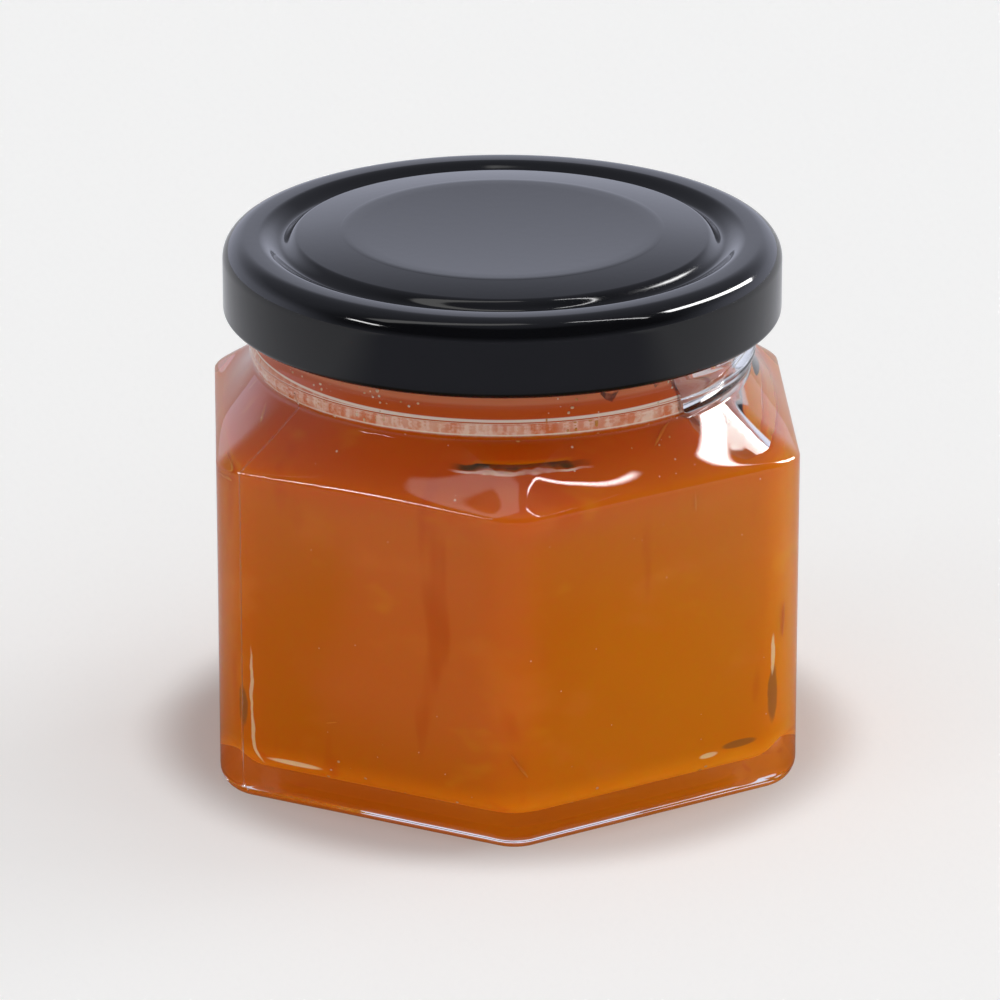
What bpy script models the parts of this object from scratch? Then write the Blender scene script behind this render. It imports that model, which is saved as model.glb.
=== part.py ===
"""A small six-sided glass jar of orange jam, shut with a round metal lid.

Units are metres, +Z is up, and the origin is the middle of the jar's base.
One corner of the hexagon points along -Y, so two flat sides face -X and +X.
Three pieces: the hollow glass, the jam inside it and the pressed metal lid.
"""
import math

import bmesh
import bpy

MM = 0.001

# Glass, outside
ACROSS_FLATS = 62.0 * MM
CORNER_RADIUS = 5.0 * MM
HEEL_RADIUS = 3.0 * MM
SHOULDER_START = 37.3 * MM
SHOULDER_LEAN = 0.36
SHOULDER_LOW_RISE = 0.12
SHOULDER_HIGH_RISE = 0.30
NECK_FOOT_RADIUS = 26.6 * MM
NECK_FOOT_HEIGHT = 43.4 * MM
BEAD_RADIUS = 27.3 * MM
SEAM_HEIGHT = 45.4 * MM
SEAM_DEPTH = 0.15 * MM
BEAD_SHARES = (0.4, 0.75, 0.95)
BEAD_TOP_HEIGHT = 47.2 * MM
FINISH_RADIUS = 26.9 * MM
RIM_HEIGHT = 56.6 * MM

# Glass, inside
WALL = 2.6 * MM
INNER_CORNER_RADIUS = 4.0 * MM
FLOOR = 3.4 * MM
INNER_HEEL_RADIUS = 4.0 * MM
INNER_SHOULDER_START = 36.2 * MM
INNER_NECK_HEIGHT = 42.6 * MM
MOUTH_RADIUS = 24.8 * MM

# Shallow hollow under the base, inside the ring that the jar stands on
BASE_HOLLOW_DEPTH = 0.7 * MM
STANDING_RING_INSET = 7.0 * MM
BASE_HOLLOW_INSET = 9.5 * MM

# Jam: a level top that slumps towards +X, which leaves air under that side of the shoulder
JAM_GAP = 0.3 * MM
JAM_SIDE_FOOT = FLOOR + JAM_GAP + INNER_HEEL_RADIUS
JAM_LEVEL = 44.2 * MM
JAM_SLUMP = 6.8 * MM
SLUMP_START = 9.0 * MM
SLUMP_END = 25.0 * MM
JAM_LOWER_SIDE = 0.35
JAM_RING_SHARE = 0.03
JAM_TOP_SHARES = (0.9, 0.78, 0.64, 0.5, 0.34, 0.18)

# Lid
LID_RADIUS = 30.0 * MM
LID_FOOT = 49.1 * MM
LID_CROWN = 57.4 * MM
LID_EDGE_RADIUS = 2.4 * MM
LID_WALL = 0.4 * MM
CURL_RADIUS = 0.65 * MM
PANEL_RADIUS = 22.5 * MM
PANEL_HEIGHT = 57.5 * MM
DISC_RADIUS = 17.3 * MM
DISC_HEIGHT = 58.0 * MM
DISC_EDGE = 0.35 * MM
DISC_EDGE_DROP = 0.05 * MM
PANEL_EDGE = 0.5 * MM
GROOVE_RADIUS = 23.8 * MM
CROWN_START = 26.2 * MM
GROOVE_HEIGHT = 56.45 * MM

# How finely the shapes are cut
SIDES = 6
STEPS_ON_FLAT = 6
STEPS_ON_CORNER = 4
SHOULDER_STEPS = 9
JAM_SHOULDER_STEPS = 9
ARC_STEPS = 4
LID_STEPS = 60
SHARP_ANGLE = math.radians(35)
WELD = 0.01 * MM
HALVINGS = 30


def clear_scene():
    for old in list(bpy.data.objects):
        bpy.data.objects.remove(old, do_unlink=True)


def new_collection(name):
    made = bpy.data.collections.new(name)
    bpy.context.scene.collection.children.link(made)
    return made


def principled(name, colour, roughness, metallic=0.0, transmission=0.0):
    made = bpy.data.materials.new(name)
    made.use_nodes = True
    shader = made.node_tree.nodes["Principled BSDF"]
    shader.inputs["Base Color"].default_value = (*colour, 1.0)
    shader.inputs["Roughness"].default_value = roughness
    shader.inputs["Metallic"].default_value = metallic
    shader.inputs["Transmission Weight"].default_value = transmission
    return made


def hexagon_radius(angle, apothem, corner):
    """Distance from the axis to a rounded hexagon, with flat sides at 0, 60, 120 degrees and on."""
    sector = 2 * math.pi / SIDES
    off_flat = abs((angle + sector / 2) % sector - sector / 2)
    corner_centre = (apothem - corner) / math.cos(sector / 2)
    flat_ends = math.atan2((apothem - corner) * math.tan(sector / 2), apothem)
    if off_flat <= flat_ends:
        return apothem / math.cos(off_flat)
    off_corner = sector / 2 - off_flat
    across = corner_centre * math.sin(off_corner)
    return corner_centre * math.cos(off_corner) + math.sqrt(corner ** 2 - across ** 2)


def ring_angles():
    """Directions round the jar: even steps on each flat side, and closer ones round each corner."""
    sector = 2 * math.pi / SIDES
    apothem = ACROSS_FLATS / 2
    flat_ends = math.atan2((apothem - CORNER_RADIUS) * math.tan(sector / 2), apothem)
    angles = []
    for side in range(SIDES):
        middle = side * sector
        for step in range(STEPS_ON_FLAT):
            angles.append(middle - flat_ends + 2 * flat_ends * step / STEPS_ON_FLAT)
        for step in range(STEPS_ON_CORNER):
            share = step / STEPS_ON_CORNER
            angles.append(middle + flat_ends + (sector - 2 * flat_ends) * share)
    return angles


ANGLES = ring_angles()


def hexagon_ring(apothem, corner, height):
    return [(hexagon_radius(a, apothem, corner), height) for a in ANGLES]


def round_ring(radius, height):
    return [(radius, height)] * len(ANGLES)


def shoulder_curve(share):
    """Share of the way in and of the way up: a tight bend off the side, then a steep slope to the neck."""
    rest = 1 - share
    inward = 3 * rest * share ** 2 * SHOULDER_LEAN + share ** 3
    low = 3 * rest ** 2 * share * SHOULDER_LOW_RISE
    high = 3 * rest * share ** 2 * SHOULDER_HIGH_RISE
    upward = low + high + share ** 3
    return inward, upward


def shoulder_ring(share, apothem, corner, start, neck_radius, neck_height):
    inward, upward = shoulder_curve(share)
    height = start + (neck_height - start) * upward
    ring = []
    for angle in ANGLES:
        side = hexagon_radius(angle, apothem, corner)
        ring.append((side + (neck_radius - side) * inward, height))
    return ring


def outer_rings():
    """Rings of the glass's outside, from under the base up to the top of the rim."""
    half = ACROSS_FLATS / 2
    rings = []
    for inset, height in ((BASE_HOLLOW_INSET, BASE_HOLLOW_DEPTH), (STANDING_RING_INSET, 0.0)):
        corner = CORNER_RADIUS * (half - inset) / half
        rings.append(hexagon_ring(half - inset, corner, height))
    for step in range(ARC_STEPS + 1):
        turn = math.pi / 2 * step / ARC_STEPS
        inset = HEEL_RADIUS * (1 - math.sin(turn))
        height = HEEL_RADIUS * (1 - math.cos(turn))
        rings.append(hexagon_ring(half - inset, CORNER_RADIUS - inset, height))
    for step in range(SHOULDER_STEPS + 1):
        rings.append(shoulder_ring(step / SHOULDER_STEPS, half, CORNER_RADIUS,
                                   SHOULDER_START, NECK_FOOT_RADIUS, NECK_FOOT_HEIGHT))
    rings += neck_rings()
    return rings


def neck_rings():
    """The bead round the neck with its mould seam, and the plain finish that the lid covers."""
    rings = []
    bulge = BEAD_RADIUS - NECK_FOOT_RADIUS
    for share in BEAD_SHARES:
        height = NECK_FOOT_HEIGHT + (SEAM_HEIGHT - NECK_FOOT_HEIGHT) * share
        rings.append(round_ring(NECK_FOOT_RADIUS + bulge * math.sin(math.pi / 2 * share), height))
    rings.append(round_ring(BEAD_RADIUS - SEAM_DEPTH, SEAM_HEIGHT))
    rings.append(round_ring(BEAD_RADIUS, SEAM_HEIGHT + SEAM_DEPTH))
    for step in range(1, ARC_STEPS + 1):
        share = step / ARC_STEPS
        height = SEAM_HEIGHT + SEAM_DEPTH + (BEAD_TOP_HEIGHT - SEAM_HEIGHT) * share
        drop = (BEAD_RADIUS - FINISH_RADIUS) * (1 - math.cos(math.pi * share)) / 2
        rings.append(round_ring(BEAD_RADIUS - drop, height))
    lip = (FINISH_RADIUS - MOUTH_RADIUS) / 2
    for step in range(2 * ARC_STEPS + 1):
        turn = math.pi * step / (2 * ARC_STEPS)
        rings.append(round_ring(MOUTH_RADIUS + lip + lip * math.cos(turn),
                                RIM_HEIGHT - lip + lip * math.sin(turn)))
    return rings


def inner_rings(gap=0.0):
    """Rings of the inside from the floor's edge up to the mouth, a gap clear of the glass."""
    half = ACROSS_FLATS / 2 - WALL - gap
    side_corner = INNER_CORNER_RADIUS - gap
    rings = []
    for step in range(ARC_STEPS + 1):
        turn = math.pi / 2 * step / ARC_STEPS
        inset = INNER_HEEL_RADIUS * (1 - math.sin(turn))
        corner = side_corner * (half - inset) / half
        height = FLOOR + gap + INNER_HEEL_RADIUS * (1 - math.cos(turn))
        rings.append(hexagon_ring(half - inset, corner, height))
    for step in range(SHOULDER_STEPS + 1):
        rings.append(shoulder_ring(step / SHOULDER_STEPS, half, side_corner,
                                   INNER_SHOULDER_START - gap, MOUTH_RADIUS - gap, INNER_NECK_HEIGHT - gap))
    rings.append(round_ring(MOUTH_RADIUS - gap, RIM_HEIGHT))
    return rings


def inside_radius(angle_index, height, rings):
    """Radius of the inside at one direction and height, between the two rings around that height."""
    for low, high in zip(rings, rings[1:]):
        r0, z0 = low[angle_index]
        r1, z1 = high[angle_index]
        if z0 <= height <= z1 and z1 > z0:
            return r0 + (r1 - r0) * (height - z0) / (z1 - z0)
    return rings[-1][angle_index][0]


def jam_top(x):
    """Height of the jam's top: level, then slumping towards +X."""
    share = min(max((x - SLUMP_START) / (SLUMP_END - SLUMP_START), 0.0), 1.0)
    return JAM_LEVEL - JAM_SLUMP * share ** 2 * (3 - 2 * share)


def jam_meets_glass(angle_index, rings):
    """The height where the jam's top reaches the glass in one direction, by halving the range."""
    low, high = JAM_SIDE_FOOT, JAM_LEVEL
    for _ in range(HALVINGS):
        middle = (low + high) / 2
        radius = inside_radius(angle_index, middle, rings)
        if jam_top(radius * math.cos(ANGLES[angle_index])) > middle:
            low = middle
        else:
            high = middle
    return (low + high) / 2


def loft(name, rings, material, collection):
    """A closed skin through the rings, in their order, shut by a flat face at the first and the last."""
    bm = bmesh.new()
    loops = []
    for ring in rings:
        points = zip(ANGLES, ring)
        loops.append([bm.verts.new((r * math.cos(a), r * math.sin(a), z)) for a, (r, z) in points])
    count = len(ANGLES)
    for low, high in zip(loops, loops[1:]):
        for i in range(count):
            j = (i + 1) % count
            bm.faces.new((low[i], low[j], high[j], high[i]))
    bm.faces.new(list(reversed(loops[0])))
    bm.faces.new(loops[-1])
    return finish_mesh(name, bm, material, collection)


def finish_mesh(name, bm, material, collection):
    mesh = bpy.data.meshes.new(name)
    bm.to_mesh(mesh)
    bm.free()
    mesh.materials.append(material)
    mesh.shade_smooth()
    mesh.set_sharp_from_angle(angle=SHARP_ANGLE)
    made = bpy.data.objects.new(name, mesh)
    collection.objects.link(made)
    return made


def make_glass(collection):
    """Up the outside, over the rim and down the inside, so the mouth stays open."""
    rings = outer_rings() + list(reversed(inner_rings()))[1:]
    glass = principled("jar_glass", (0.95, 0.97, 0.96), 0.03, transmission=1.0)
    return loft("glass_jar", rings, glass, collection)


def make_jam(collection):
    inside = inner_rings(JAM_GAP)
    tops = [jam_meets_glass(i, inside) for i in range(len(ANGLES))]
    side_shares = [0.0, JAM_LOWER_SIDE]
    side_shares += [1 - JAM_RING_SHARE * step for step in range(JAM_SHOULDER_STEPS, -1, -1)]
    rings = inside[:ARC_STEPS]
    for share in side_shares:
        ring = []
        for i, top in enumerate(tops):
            height = JAM_SIDE_FOOT + (top - JAM_SIDE_FOOT) * share
            ring.append((inside_radius(i, height, inside), height))
        rings.append(ring)
    edge = rings[-1]
    for share in JAM_TOP_SHARES:
        ring = []
        for angle, (radius, _) in zip(ANGLES, edge):
            inward = radius * share
            ring.append((inward, jam_top(inward * math.cos(angle))))
        rings.append(ring)
    jam = principled("orange_jam", (0.52, 0.17, 0.008), 0.35)
    return loft("jam", rings, jam, collection)


def arc(centre, radius, start, end, steps):
    """Points on an arc in the (radius, height) plane, from start to end in degrees."""
    points = []
    for step in range(steps + 1):
        turn = math.radians(start + (end - start) * step / steps)
        points.append((centre[0] + radius * math.cos(turn), centre[1] + radius * math.sin(turn)))
    return points


def wave(start, end, steps):
    """A smooth rise or fall from one point to another, level at both ends, without the first point."""
    points = []
    for step in range(1, steps + 1):
        share = step / steps
        eased = (1 - math.cos(math.pi * share)) / 2
        radius = start[0] + (end[0] - start[0]) * share
        points.append((radius, start[1] + (end[1] - start[1]) * eased))
    return points


def lid_top():
    """The pressed top from the axis outwards: disc, sloping ring, ring groove and crown."""
    points = [(0.0, DISC_HEIGHT), (DISC_RADIUS / 2, DISC_HEIGHT), (DISC_RADIUS - DISC_EDGE, DISC_HEIGHT)]
    points.append((DISC_RADIUS + DISC_EDGE, DISC_HEIGHT - DISC_EDGE_DROP))
    points.append((PANEL_RADIUS - PANEL_EDGE, PANEL_HEIGHT))
    points += wave(points[-1], (GROOVE_RADIUS, GROOVE_HEIGHT), ARC_STEPS)
    points += wave(points[-1], (CROWN_START, LID_CROWN), ARC_STEPS + 1)
    return points


def lid_under():
    """The same pressed form a wall's thickness below, from the crown back to the axis."""
    return [(r, z - LID_WALL) for r, z in reversed(lid_top())]


def make_lid(collection):
    crown_centre = (LID_RADIUS - LID_EDGE_RADIUS, LID_CROWN - LID_EDGE_RADIUS)
    curl_centre = (LID_RADIUS - CURL_RADIUS, LID_FOOT + CURL_RADIUS)
    profile = lid_top()
    profile += arc(crown_centre, LID_EDGE_RADIUS, 90, 0, ARC_STEPS + 1)
    profile += arc(curl_centre, CURL_RADIUS, 0, -180, ARC_STEPS + 1)
    profile += arc(curl_centre, CURL_RADIUS, 180, 70, ARC_STEPS)
    profile += arc(crown_centre, LID_EDGE_RADIUS - LID_WALL, 0, 90, ARC_STEPS)
    profile += lid_under()
    bm = bmesh.new()
    verts = [bm.verts.new((r, 0.0, z)) for r, z in profile]
    for a, b in zip(verts, verts[1:]):
        bm.edges.new((a, b))
    bmesh.ops.remove_doubles(bm, verts=bm.verts, dist=WELD)
    black = principled("black_lacquer", (0.012, 0.013, 0.016), 0.12)
    lid = finish_mesh("lid", bm, black, collection)
    turn = lid.modifiers.new("turn", "SCREW")
    turn.axis = "Z"
    turn.angle = 2 * math.pi
    turn.steps = LID_STEPS
    turn.render_steps = LID_STEPS
    turn.use_merge_vertices = True
    turn.merge_threshold = WELD
    turn.use_smooth_shade = True
    return lid


def main():
    clear_scene()
    jar = new_collection("jar_of_jam")
    make_glass(jar)
    make_jam(jar)
    make_lid(jar)


main()
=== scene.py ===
# %% [markdown]
# # A six-sided jar of orange jam
# The real object is three things: a thick moulded glass jar with six flat sides and a round
# neck, the jam that fills it, and a black lacquered metal lid that is pressed from one sheet.
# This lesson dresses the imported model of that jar. Every piece is made in metres, in the same
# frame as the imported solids: the origin is the middle of the base and +Z is up.

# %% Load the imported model
import math

import bmesh
import bpy
from mathutils import Matrix, Vector
from mathutils.bvhtree import BVHTree


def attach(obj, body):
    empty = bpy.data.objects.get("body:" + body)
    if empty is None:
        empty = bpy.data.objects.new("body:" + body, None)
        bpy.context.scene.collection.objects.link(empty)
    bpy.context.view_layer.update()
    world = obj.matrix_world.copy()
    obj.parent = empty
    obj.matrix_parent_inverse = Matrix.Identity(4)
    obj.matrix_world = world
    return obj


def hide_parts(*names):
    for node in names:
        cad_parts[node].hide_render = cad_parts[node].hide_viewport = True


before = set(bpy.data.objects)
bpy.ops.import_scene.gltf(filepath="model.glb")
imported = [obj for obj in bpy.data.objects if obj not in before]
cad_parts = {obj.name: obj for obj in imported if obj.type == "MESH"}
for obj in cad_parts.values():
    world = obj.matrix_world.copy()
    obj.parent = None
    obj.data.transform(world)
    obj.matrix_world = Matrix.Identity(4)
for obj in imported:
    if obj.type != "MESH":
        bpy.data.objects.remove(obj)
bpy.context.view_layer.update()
MM = 0.001
print("solids in the frame:", sorted(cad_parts))

# %% [markdown]
# ## Helpers for node trees
# Shaders and shapes are both made as node trees here. Short helpers keep those trees readable:
# one adds a node and fills its sockets, one picks the socket that is in use where a node keeps
# several of the same name, and the others do sums, eased steps, noise and mixed colours. A
# socket knows its tree, so only add() is told which tree it works on.

# %% Node helpers


def feed(socket, value):
    """Gives a socket a fixed value, or joins it to another node's output."""
    if isinstance(value, bpy.types.NodeSocket):
        socket.id_data.links.new(value, socket)
    else:
        socket.default_value = value


def in_use(sockets, name):
    """The socket of that name that the node shows."""
    return [s for s in sockets if s.name == name and s.enabled][0]


def fill(node, inputs):
    """Gives or joins a value to each socket that is named."""
    for name, value in inputs.items():
        feed(in_use(node.inputs, name), value)


def add(tree, kind, inputs=None, **settings):
    """Adds a node, sets its options, and fills the sockets that are named."""
    node = tree.nodes.new(kind)
    for name, value in settings.items():
        setattr(node, name, value)
    fill(node, inputs or {})
    return node


def tree_of(*values):
    """The node tree that the first socket among the values belongs to."""
    return [v for v in values if isinstance(v, bpy.types.NodeSocket)][0].id_data


print("node helpers are ready")

# %% Helpers for sums


def maths(operation, *values):
    """One sum on numbers, such as MAXIMUM or SINE."""
    node = add(tree_of(*values), "ShaderNodeMath", operation=operation)
    for socket, value in zip(node.inputs, values):
        feed(socket, value)
    return node.outputs[0]


def plus(first, second):
    """The sum of two numbers."""
    return maths("ADD", first, second)


def minus(first, second):
    """The first number less the second."""
    return maths("SUBTRACT", first, second)


def times(first, second):
    """The product of two numbers."""
    return maths("MULTIPLY", first, second)


def squared(value):
    """A number times itself."""
    return maths("POWER", value, 2.0)


def ramp(value, low, high):
    """0 up to low, 1 from high on, and an eased rise between them."""
    inputs = {"Value": value, "From Min": low, "From Max": high}
    return add(value.id_data, "ShaderNodeMapRange", inputs, interpolation_type="SMOOTHSTEP").outputs[0]


def near(value, middle, full, gone):
    """1 within full of the middle, 0 from gone on, and an eased fall between them."""
    off = maths("ABSOLUTE", minus(value, middle))
    return minus(1.0, ramp(off, full, gone))


def noise(place, scale, detail):
    """Soft noise, about 0.5 on the whole."""
    inputs = {"Vector": place, "Scale": scale, "Detail": detail}
    return add(place.id_data, "ShaderNodeTexNoise", inputs).outputs[0]


print("helpers for sums are ready")

# %% Helpers for vectors, colours and shaders


def parts_of(vector):
    """The X, Y and Z of a vector."""
    return add(vector.id_data, "ShaderNodeSeparateXYZ", {"Vector": vector}).outputs


def vector_of(x=0.0, y=0.0, z=0.0):
    """A vector from its X, Y and Z."""
    return add(tree_of(x, y, z), "ShaderNodeCombineXYZ", {"X": x, "Y": y, "Z": z}).outputs[0]


def scaled(vector, share):
    """A vector made longer or shorter."""
    node = add(vector.id_data, "ShaderNodeVectorMath", {"Scale": share}, operation="SCALE")
    feed(node.inputs[0], vector)
    return node.outputs[0]


def blend_colours(share, first, second):
    """Mixes two colours by a share from 0 to 1."""
    node = add(share.id_data, "ShaderNodeMix", data_type="RGBA")
    feed(node.inputs["Factor"], share)
    feed(in_use(node.inputs, "A"), first)
    feed(in_use(node.inputs, "B"), second)
    return in_use(node.outputs, "Result")


def either(share, first, second):
    """The first shader where the share is 0, and the second where it is 1."""
    node = add(share.id_data, "ShaderNodeMixShader", {"Fac": share})
    feed(node.inputs[1], first.outputs[0])
    feed(node.inputs[2], second.outputs[0])
    return node


def grey(level):
    """A colour without a hue."""
    return (level, level, level, 1.0)


print("helpers for vectors, colours and shaders are ready")

# %% Helpers for objects and finishes


def new_object(name, data):
    """A new object at the origin, in the scene."""
    made = bpy.data.objects.new(name, data)
    bpy.context.scene.collection.objects.link(made)
    return made


def new_finish(name):
    """A new material, its shader and the place that it colours."""
    made = bpy.data.materials.new(name)
    made.use_nodes = True
    place = add(made.node_tree, "ShaderNodeTexCoord").outputs["Object"]
    return made, made.node_tree.nodes["Principled BSDF"], place


print("helpers for objects and finishes are ready")

# %% [markdown]
# ## Camera
# The photograph looks down on the jar by about twenty degrees, from far away with a long lens,
# so its upright edges stay almost parallel. The place and the lens were found by fitting the
# lid's two ellipses, the jar's corners and its base line.

# %% Camera
CAMERA_PLACE = Vector((-30.96, -721.2, 294.8)) * MM
CAMERA_AIM = Vector((-0.25, 0.0, 26.97)) * MM
LENS = 255.3
SENSOR_WIDTH = 36.0

camera = new_object("camera", bpy.data.cameras.new("camera"))
camera.data.lens = LENS
camera.data.sensor_width = SENSOR_WIDTH
camera.location = CAMERA_PLACE
camera.rotation_euler = (CAMERA_AIM - CAMERA_PLACE).to_track_quat("-Z", "Y").to_euler()
bpy.context.scene.camera = camera
bpy.context.scene.view_settings.view_transform = "Standard"
print("camera is", round((CAMERA_AIM - CAMERA_PLACE).length / MM), "mm away")

# %% [markdown]
# ## Studio
# The jar stands on a pale sweep. Black lacquer and clear glass have little colour of their own
# and show the room, so the room matters as much as the material: pale and bright behind, dim
# above, and dark behind the camera. Soft boxes give the white streaks on the lid and the
# shoulders, and the large one throws the soft shadow to the left. Reflections and light are
# set apart: what glass and lacquer mirror is painted in the room, and lamps in the same places
# light the jam and the floor, so the streaks can be bright while the shadow stays soft. The
# floor also glows a little, except close to the jar, in place of light that a real white room
# sends back and forth. That glow is too faint to aim at, so it isn't sampled as a lamp.

# %% Pale floor
FLOOR_SIZE = 12.0
FLOOR_DROP = 0.02 * MM
FLOOR_WHITE = grey(0.795)
FLOOR_MOTTLE = (0.79, 0.79, 0.795, 1.0)
FLOOR_IN_REFLECTIONS = (0.40, 0.41, 0.49, 1.0)
FLOOR_CLOSE_IN_REFLECTIONS = (0.14, 0.10, 0.05, 1.0)
CLOSE_BY = 80.0 * MM
FARTHER_OFF = 140.0 * MM
FLOOR_BEHIND_IN_REFLECTIONS = (0.80, 0.81, 0.86, 1.0)
FLOOR_GLOW = 0.28
FRONT_WIDENS = 0.9
BEHIND_FROM_HERE = 80.0 * MM
# The glow starts and is full at these distances from the middle, so the floor is darker round the jar's foot:
# a painted contact shadow
GLOW_STARTS = 33.0 * MM
GLOW_FULL = 42.0 * MM

floor_mesh = bpy.data.meshes.new("floor")
half_floor = FLOOR_SIZE / 2
corner_signs = ((-1, -1), (1, -1), (1, 1), (-1, 1))
corners = [(x * half_floor, y * half_floor, -FLOOR_DROP) for x, y in corner_signs]
floor_mesh.from_pydata(corners, [], [(0, 1, 2, 3)])
floor = new_object("floor", floor_mesh)


def pale_card():
    """Matt white card with a very faint mottle, which mirrors less of itself into glass and lacquer."""
    made, shader, place = new_finish("pale_card")
    made.cycles.emission_sampling = "NONE"
    tint = blend_colours(noise(place, 6.0, 2.0), FLOOR_WHITE, FLOOR_MOTTLE)
    mirrored = add(made.node_tree, "ShaderNodeLightPath").outputs["Is Glossy Ray"]
    x, y, z = parts_of(place)
    beside = times(maths("ABSOLUTE", x), FRONT_WIDENS)
    behind = ramp(plus(y, beside), 0.0, BEHIND_FROM_HERE)
    off = maths("SQRT", plus(squared(x), squared(y)))
    far = ramp(off, CLOSE_BY, FARTHER_OFF)
    in_mirror = blend_colours(far, FLOOR_CLOSE_IN_REFLECTIONS, FLOOR_IN_REFLECTIONS)
    in_mirror = blend_colours(behind, in_mirror, FLOOR_BEHIND_IN_REFLECTIONS)
    glow = times(minus(1.0, mirrored), FLOOR_GLOW)
    # the glow fades out close to the jar, which paints a soft contact shadow there
    glow = times(glow, ramp(off, GLOW_STARTS, GLOW_FULL))
    fill(shader, {"Base Color": blend_colours(mirrored, tint, in_mirror), "Emission Color": grey(1.0),
                  "Emission Strength": glow, "Roughness": 0.9, "Specular IOR Level": 0.1})
    return made


floor_mesh.materials.append(pale_card())
print("floor is", FLOOR_SIZE, "m wide")

# %% Soft box places
BOX_DISTANCE = 5.0
TURN_OF_VIEW = math.radians(-2.46)


def direction_of(round_angle, height_angle):
    """A direction from the jar, by the angle round from +X and the angle up, in degrees."""
    across = math.radians(round_angle) + TURN_OF_VIEW
    up = math.radians(height_angle)
    return Vector((math.cos(across) * math.cos(up), math.sin(across) * math.cos(up), math.sin(up)))


def box_frame(start, end):
    """The middle direction of a strip, its long and short directions, and its half length."""
    first, last = direction_of(*start), direction_of(*end)
    middle = (first + last).normalized()
    along = (last - first) - middle * (last - first).dot(middle)
    return middle, along.normalized(), middle.cross(along.normalized()), first.angle(last) / 2


# name, where the strip starts and ends, degrees across, light it gives, brightness in reflections
SOFT_BOXES = (
    ("key_box", (4.0, 48.0), (42.0, 22.0), 8.0, 5.0, 30.0),
    ("edge_box", (-13.0, 46.0), (22.0, 76.0), 1.0, 4.0, 22.0),
    ("left_box", (-163.0, 36.0), (-146.0, 34.0), 3.0, 10.0, 24.0),
    ("ceiling_strip", (-162.0, 52.0), (60.0, 82.0), 9.0, 0.4, 1.7),
)
print("soft boxes:", [box[0] for box in SOFT_BOXES])

# %% Room
ROOM_BEHIND = ((0.0, 0.90), (0.16, 0.90), (0.27, 0.84), (0.40, 0.54), (0.54, 0.30), (1.0, 0.30))
ROOM_IN_FRONT = ((0.0, 0.30), (0.15, 0.16), (0.35, 0.04), (0.90, 0.04), (1.0, 0.30))
COOL = (0.94, 0.98, 1.18)


def brightness_by_height(height, stops):
    """A cool grey ramp over the sine of the height above the horizon."""
    node = add(height.id_data, "ShaderNodeValToRGB", {"Fac": height})
    marks = node.color_ramp.elements
    while len(marks) < len(stops):
        marks.new(0.5)
    for mark, (place, level) in zip(marks, stops):
        mark.position = place
        mark.color = (level * COOL[0], level * COOL[1], level * COOL[2], 1.0)
    return node.outputs["Color"]


print("room has", len(ROOM_BEHIND), "levels behind and", len(ROOM_IN_FRONT), "in front")

# %% Soft boxes as the jar sees them
SOFT_EDGE = 0.02
AHEAD_AT_LEAST = 0.05


def along_axis(direction, axis):
    """How far a direction goes along an axis."""
    node = add(direction.id_data, "ShaderNodeVectorMath", operation="DOT_PRODUCT")
    feed(node.inputs[0], direction)
    feed(node.inputs[1], tuple(axis))
    return node.outputs["Value"]


def box_in_room(direction, start, end, wide):
    """1 inside a soft box as the jar sees it, 0 outside, with a soft edge."""
    middle, along, across, half_length = box_frame(start, end)
    ahead = along_axis(direction, middle)
    inside = maths("GREATER_THAN", ahead, AHEAD_AT_LEAST)
    for axis, half in ((along, half_length), (across, math.radians(wide) / 2)):
        off = maths("DIVIDE", along_axis(direction, axis), ahead)
        soft = min(SOFT_EDGE, math.tan(half))
        edge = ramp(maths("ABSOLUTE", off), math.tan(half) - soft, math.tan(half) + soft)
        inside = times(inside, minus(1.0, edge))
    return inside


print("soft boxes fade over", SOFT_EDGE, "at their edges")

# %% Light the room
FILL_FROM = Vector((0.45, -0.40, 0.80)).normalized()
FILL_FAR_SIDE = 0.30
FILL_NEAR_SIDE = 0.79
FILL_SPREAD = (-0.3, 1.0)
FRONT_TO_BEHIND = (-0.4, 0.35)


def light_the_room():
    """A white tent for light, brightest above the front right, and in reflections a darker room with
    the soft boxes in it."""
    world = bpy.data.worlds.new("studio")
    world.use_nodes = True
    tree = world.node_tree
    direction = add(tree, "ShaderNodeTexCoord").outputs["Generated"]
    x, y, z = parts_of(direction)
    behind = brightness_by_height(z, ROOM_BEHIND)
    front = brightness_by_height(z, ROOM_IN_FRONT)
    mirrored = blend_colours(ramp(y, *FRONT_TO_BEHIND), front, behind)
    for name, start, end, wide, light, shine in SOFT_BOXES:
        inside = box_in_room(direction, start, end, wide)
        mirrored = blend_colours(inside, mirrored, grey(shine))
    side = ramp(along_axis(direction, FILL_FROM), *FILL_SPREAD)
    tent = tree.nodes["Background"]
    feed(tent.inputs["Color"], blend_colours(side, grey(FILL_FAR_SIDE), grey(FILL_NEAR_SIDE)))
    room = add(tree, "ShaderNodeBackground", {"Color": mirrored})
    both = either(add(tree, "ShaderNodeLightPath").outputs["Is Glossy Ray"], tent, room)
    feed(tree.nodes["World Output"].inputs["Surface"], both.outputs[0])
    bpy.context.scene.world = world


light_the_room()
print("tent is brightest towards", [round(part, 2) for part in FILL_FROM])

# %% Lamps in the soft boxes


def hang_soft_box(name, start, end, wide, light):
    """A strip lamp that faces the jar. Its reflection is painted in the room, so it hides its own."""
    middle, along, across, half_length = box_frame(start, end)
    lamp = bpy.data.lights.new(name, "AREA")
    lamp.shape = "RECTANGLE"
    lamp.size = 2 * math.tan(half_length) * BOX_DISTANCE
    lamp.size_y = 2 * math.tan(math.radians(wide) / 2) * BOX_DISTANCE
    lamp.energy = light * math.pi * lamp.size * lamp.size_y
    made = new_object(name, lamp)
    turn = Matrix((along, across, middle)).transposed().to_4x4()
    made.matrix_world = Matrix.Translation(middle * BOX_DISTANCE) @ turn
    made.visible_glossy = False


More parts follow.
